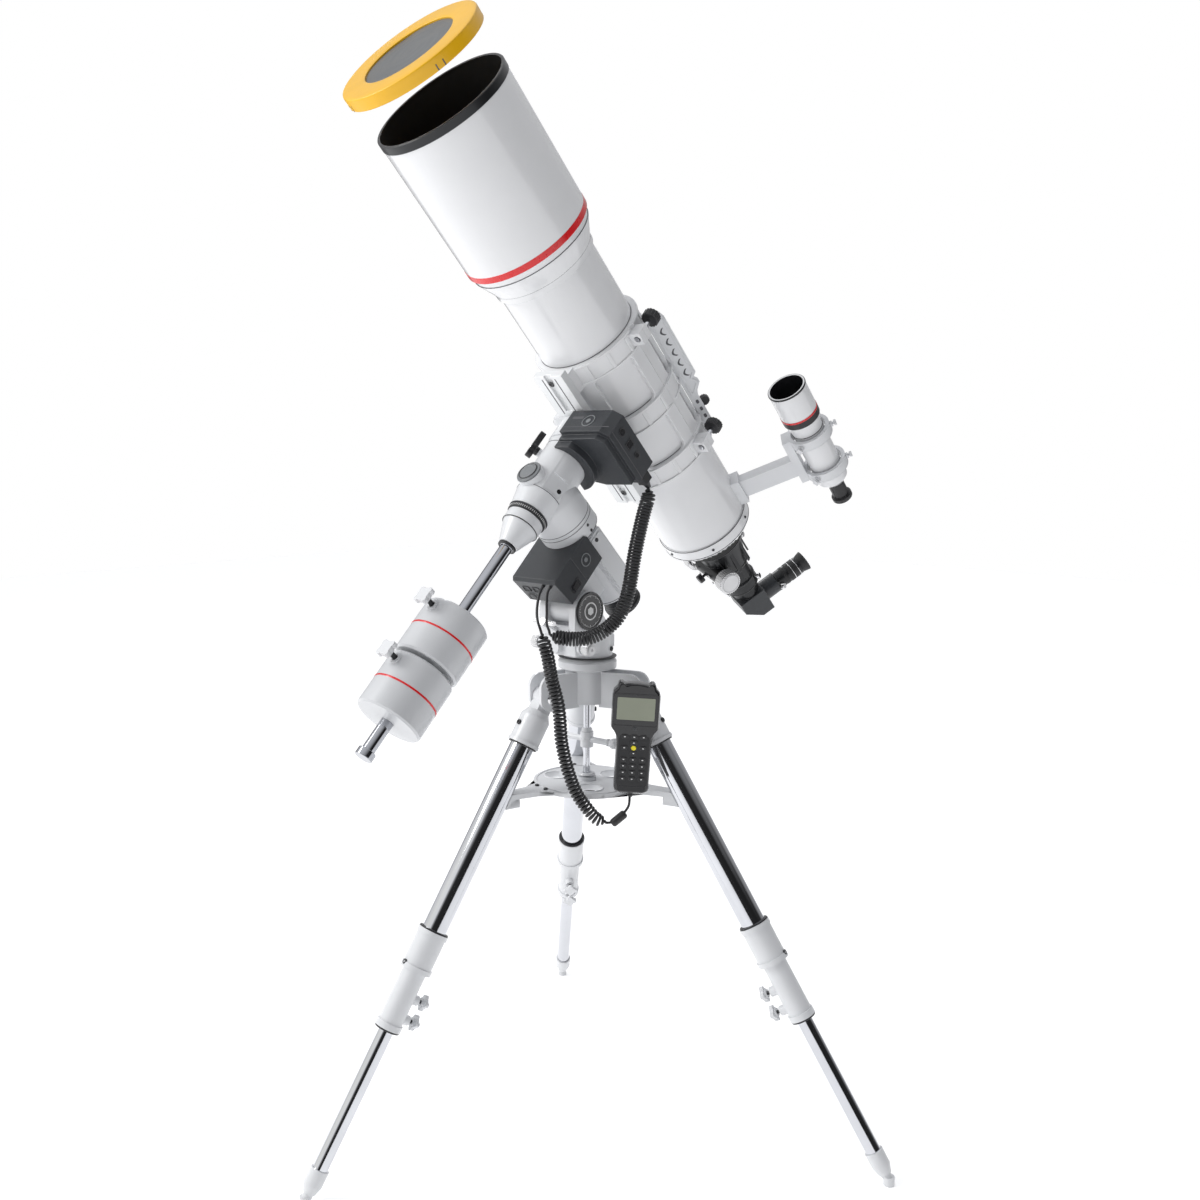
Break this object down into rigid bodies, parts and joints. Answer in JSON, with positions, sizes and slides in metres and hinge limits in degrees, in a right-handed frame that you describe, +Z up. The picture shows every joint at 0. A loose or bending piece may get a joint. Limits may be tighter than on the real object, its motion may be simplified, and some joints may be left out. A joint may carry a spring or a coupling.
{
  "type": "refractor telescope",
  "caption": "Short refractor telescope on a motor-driven German equatorial mount with counterweights, handset and a steel-leg tripod.",
  "frame": {"origin": "on the ground at the tripod centre line, under the hub", "axes": "+Z up, +X to the east side of the mount, -Y to the north side, where the counterweights hang; the polar axis lies in the YZ plane, 45 degrees up towards -Y"},
  "size_m": [0.9028, 1.0784, 1.7596],
  "materials": {
    "white_enamel": "satin",
    "tube_white": "gloss",
    "mirror_steel": "polished",
    "grey_steel": "satin enamel",
    "motor_grey": "satin",
    "black_plastic": "matte",
    "black_anodised": "satin",
    "bright_screws": "polished",
    "bar_aluminium": "satin",
    "lens_glass": "coated",
    "filter_yellow": "satin",
    "cord_rubber": "satin",
    "cup_rubber": "matte",
    "cap_grey": "satin"
  },
  "bodies": {
    "tripod": {"tripod_hub": "white_enamel", "hub_hardware": "bright_screws", "hand_cord": "cord_rubber"},
    "centre_rod": {"centre_rod": "mirror_steel"},
    "spreader": {"spreader_plate": "white_enamel"},
    "spreader_nut": {"spreader_nut": "black_plastic"},
    "leg_east": {"leg_east_top": "white_enamel", "leg_east_tube": "mirror_steel", "leg_east_collar": "white_enamel"},
    "leg_east_extension": {"leg_east_lower": "mirror_steel", "leg_east_foot": "white_enamel"},
    "leg_west": {"leg_west_top": "white_enamel", "leg_west_tube": "mirror_steel", "leg_west_collar": "white_enamel"},
    "leg_west_extension": {"leg_west_lower": "mirror_steel", "leg_west_foot": "white_enamel"},
    "leg_north": {"leg_north_top": "white_enamel", "leg_north_tube": "mirror_steel", "leg_north_collar": "white_enamel"},
    "leg_north_extension": {"leg_north_lower": "mirror_steel", "leg_north_foot": "white_enamel"},
    "azimuth": {"azimuth_base": "white_enamel"},
    "azimuth_knob_west": {"azimuth_knob_west": "bright_screws"},
    "azimuth_knob_east": {"azimuth_knob_east": "bright_screws"},
    "latitude_screw": {"latitude_screw": "bright_screws"},
    "polar_axis": {"ra_housing": "white_enamel", "polar_scope": "cup_rubber", "ra_motor_box": "motor_grey", "dec_cord": "cord_rubber"},
    "declination_unit": {"dec_housing": "white_enamel", "dec_circle": "black_plastic", "dec_motor_box": "motor_grey", "dec_plug": "cord_rubber"},
    "polar_cap": {"polar_cap": "cap_grey"},
    "dec_clutch": {"dec_clutch": "black_plastic"},
    "optical_tube": {"saddle": "white_enamel", "dovetail_bar": "bar_aluminium", "cw_nose": "white_enamel", "cw_shaft": "mirror_steel", "main_tube": "tube_white", "dew_shield": "tube_white", "objective": "lens_glass", "cradle_lower": "white_enamel", "focuser_body": "black_anodised", "finder_bracket": "white_enamel", "finder": "tube_white"},
    "cradle_lid": {"cradle_upper": "white_enamel", "handle_plate": "white_enamel"},
    "ring_knob_front": {"ring_knob_front": "black_plastic"},
    "ring_knob_rear": {"ring_knob_rear": "black_plastic"},
    "weight_upper": {"weight_upper": "grey_steel"},
    "weight_lower": {"weight_lower": "grey_steel"},
    "weight_knob_upper": {"weight_knob_upper": "white_enamel"},
    "weight_knob_lower": {"weight_knob_lower": "white_enamel"},
    "drawtube": {"drawtube": "black_anodised"},
    "focus_knobs": {"focus_knobs": "bright_screws"},
    "diagonal": {"diagonal": "black_anodised"},
    "eyepiece": {"eyepiece": "black_anodised"},
    "sun_filter": {"sun_filter": "filter_yellow"},
    "handset": {"handset": "black_plastic"}
  },
  "joints": [
    {"name": "rod_turn", "type": "hinge", "parent": "tripod", "child": "centre_rod", "pos_m": [0, 0, 0.7], "axis": [0, 0, 1], "range_deg": [-180, 180]},
    {"name": "leg_north_fold", "type": "hinge", "parent": "tripod", "child": "leg_north", "pos_m": [-0.01703, -0.08225, 0.7362], "axis": [0.9792, -0.2028, 0], "range_deg": [0, 4]},
    {"name": "leg_north_extend", "type": "slide", "parent": "leg_north", "child": "leg_north_extension", "axis": [-0.1044, -0.5043, -0.8572], "range_m": [-0.22, 0.1]},
    {"name": "leg_east_fold", "type": "hinge", "parent": "tripod", "child": "leg_east", "pos_m": [0.07975, 0.02637, 0.7362], "axis": [-0.314, 0.9494, 0], "range_deg": [0, 4]},
    {"name": "leg_east_extend", "type": "slide", "parent": "leg_east", "child": "leg_east_extension", "axis": [0.489, 0.1617, -0.8572], "range_m": [-0.22, 0.1]},
    {"name": "leg_west_fold", "type": "hinge", "parent": "tripod", "child": "leg_west", "pos_m": [-0.06272, 0.05588, 0.7362], "axis": [-0.6652, -0.7466, 0], "range_deg": [0, 4]},
    {"name": "leg_west_extend", "type": "slide", "parent": "leg_west", "child": "leg_west_extension", "axis": [-0.3845, 0.3426, -0.8572], "range_m": [-0.22, 0.1]},
    {"name": "spreader_lower", "type": "slide", "parent": "tripod", "child": "spreader", "axis": [0, 0, -1], "range_m": [0, 0.032]},
    {"name": "spreader_nut_turn", "type": "hinge", "parent": "spreader", "child": "spreader_nut", "pos_m": [0, 0, 0.563], "axis": [0, 0, 1], "range_deg": [-180, 180]},
    {"name": "azimuth_turn", "type": "hinge", "parent": "tripod", "child": "azimuth", "pos_m": [0, 0, 0.798], "axis": [0, 0, 1], "range_deg": [-8, 8], "deforming": ["hand_cord"]},
    {"name": "azimuth_knob_west_turn", "type": "hinge", "parent": "azimuth", "child": "azimuth_knob_west", "pos_m": [-0.057, -0.06, 0.822], "axis": [1, 0, 0], "range_deg": [-180, 180]},
    {"name": "azimuth_knob_east_turn", "type": "hinge", "parent": "azimuth", "child": "azimuth_knob_east", "pos_m": [0.057, -0.06, 0.822], "axis": [1, 0, 0], "range_deg": [-180, 180]},
    {"name": "latitude_screw_turn", "type": "hinge", "parent": "azimuth", "child": "latitude_screw", "pos_m": [0, -0.066, 0.846], "axis": [0, -0.8988, 0.4384], "range_deg": [-180, 180]},
    {"name": "latitude_tilt", "type": "hinge", "parent": "azimuth", "child": "polar_axis", "pos_m": [0, -0.04, 0.88], "axis": [1, 0, 0], "range_deg": [-15, 20], "deforming": ["hand_cord"]},
    {"name": "right_ascension_turn", "type": "hinge", "parent": "polar_axis", "child": "declination_unit", "pos_m": [0, -0.10364, 1.07092], "axis": [0, -0.7071, 0.7071], "range_deg": [-95, 95], "deforming": ["dec_cord"]},
    {"name": "declination_turn", "type": "hinge", "parent": "declination_unit", "child": "optical_tube", "pos_m": [0, -0.10364, 1.07092], "axis": [0, 0.7071, 0.7071], "range_deg": [-180, 180]},
    {"name": "polar_cap_off", "type": "slide", "parent": "declination_unit", "child": "polar_cap", "axis": [0, -0.7071, 0.7071], "range_m": [0, 0.015]},
    {"name": "dec_clutch_turn", "type": "hinge", "parent": "declination_unit", "child": "dec_clutch", "pos_m": [-0.033, -0.07536, 1.13032], "axis": [-0.5446, -0.593, 0.593], "range_deg": [0, 60]},
    {"name": "weight_upper_slide", "type": "slide", "parent": "optical_tube", "child": "weight_upper", "axis": [0, 0.7071, 0.7071], "range_m": [-0.003, 0.14]},
    {"name": "weight_lower_slide", "type": "slide", "parent": "optical_tube", "child": "weight_lower", "axis": [0, 0.7071, 0.7071], "range_m": [-0.045, 0.003]},
    {"name": "weight_knob_upper_turn", "type": "hinge", "parent": "weight_upper", "child": "weight_knob_upper", "pos_m": [0, -0.33981, 0.9196], "axis": [0, -0.7071, 0.7071], "range_deg": [-180, 180]},
    {"name": "weight_knob_lower_turn", "type": "hinge", "parent": "weight_lower", "child": "weight_knob_lower", "pos_m": [0, -0.40982, 0.84959], "axis": [0, -0.7071, 0.7071], "range_deg": [-180, 180]},
    {"name": "cradle_open", "type": "hinge", "parent": "optical_tube", "child": "cradle_lid", "pos_m": [-0.09377, 0.06567, 1.24023], "axis": [0, -0.7071, 0.7071], "range_deg": [0, 60]},
    {"name": "ring_knob_front_turn", "type": "hinge", "parent": "cradle_lid", "child": "ring_knob_front", "pos_m": [0.10175, 0.00817, 1.31707], "axis": [0.0698, -0.7054, -0.7054], "range_deg": [-180, 180]},
    {"name": "ring_knob_rear_turn", "type": "hinge", "parent": "cradle_lid", "child": "ring_knob_rear", "pos_m": [0.10175, 0.17504, 1.1502], "axis": [0.0698, -0.7054, -0.7054], "range_deg": [-180, 180]},
    {"name": "drawtube_rack", "type": "slide", "parent": "optical_tube", "child": "drawtube", "axis": [0, 0.7071, -0.7071], "range_m": [-0.02, 0.06]},
    {"name": "focus_knobs_turn", "type": "hinge", "parent": "optical_tube", "child": "focus_knobs", "pos_m": [-0.01521, 0.35554, 0.9135], "axis": [0.9063, -0.2988, -0.2988], "range_deg": [-191, 573]},
    {"name": "diagonal_turn", "type": "hinge", "parent": "drawtube", "child": "diagonal", "pos_m": [0, 0.46629, 0.84889], "axis": [0, -0.7071, 0.7071], "range_deg": [-180, 180]},
    {"name": "eyepiece_pull", "type": "slide", "parent": "diagonal", "child": "eyepiece", "axis": [0.5299, 0.5997, 0.5997], "range_m": [0, 0.03]},
    {"name": "sun_filter_on", "type": "slide", "parent": "optical_tube", "child": "sun_filter", "axis": [0, 0.7071, -0.7071], "range_m": [0, 0.0735]},
    {"name": "handset_lift", "type": "slide", "parent": "tripod", "child": "handset", "axis": [0.0385, 0.0355, 0.9986], "range_m": [0, 0.06], "deforming": ["hand_cord"]}
  ],
  "couplings": [
    {"joint": "leg_east_fold", "follows": "leg_north_fold", "ratio": 1},
    {"joint": "leg_west_fold", "follows": "leg_north_fold", "ratio": 1},
    {"joint": "spreader_lower", "follows": "leg_north_fold", "m_per_rad": 0.45836},
    {"joint": "focus_knobs_turn", "follows": "drawtube_rack", "rad_per_m": 166.6}
  ]
}
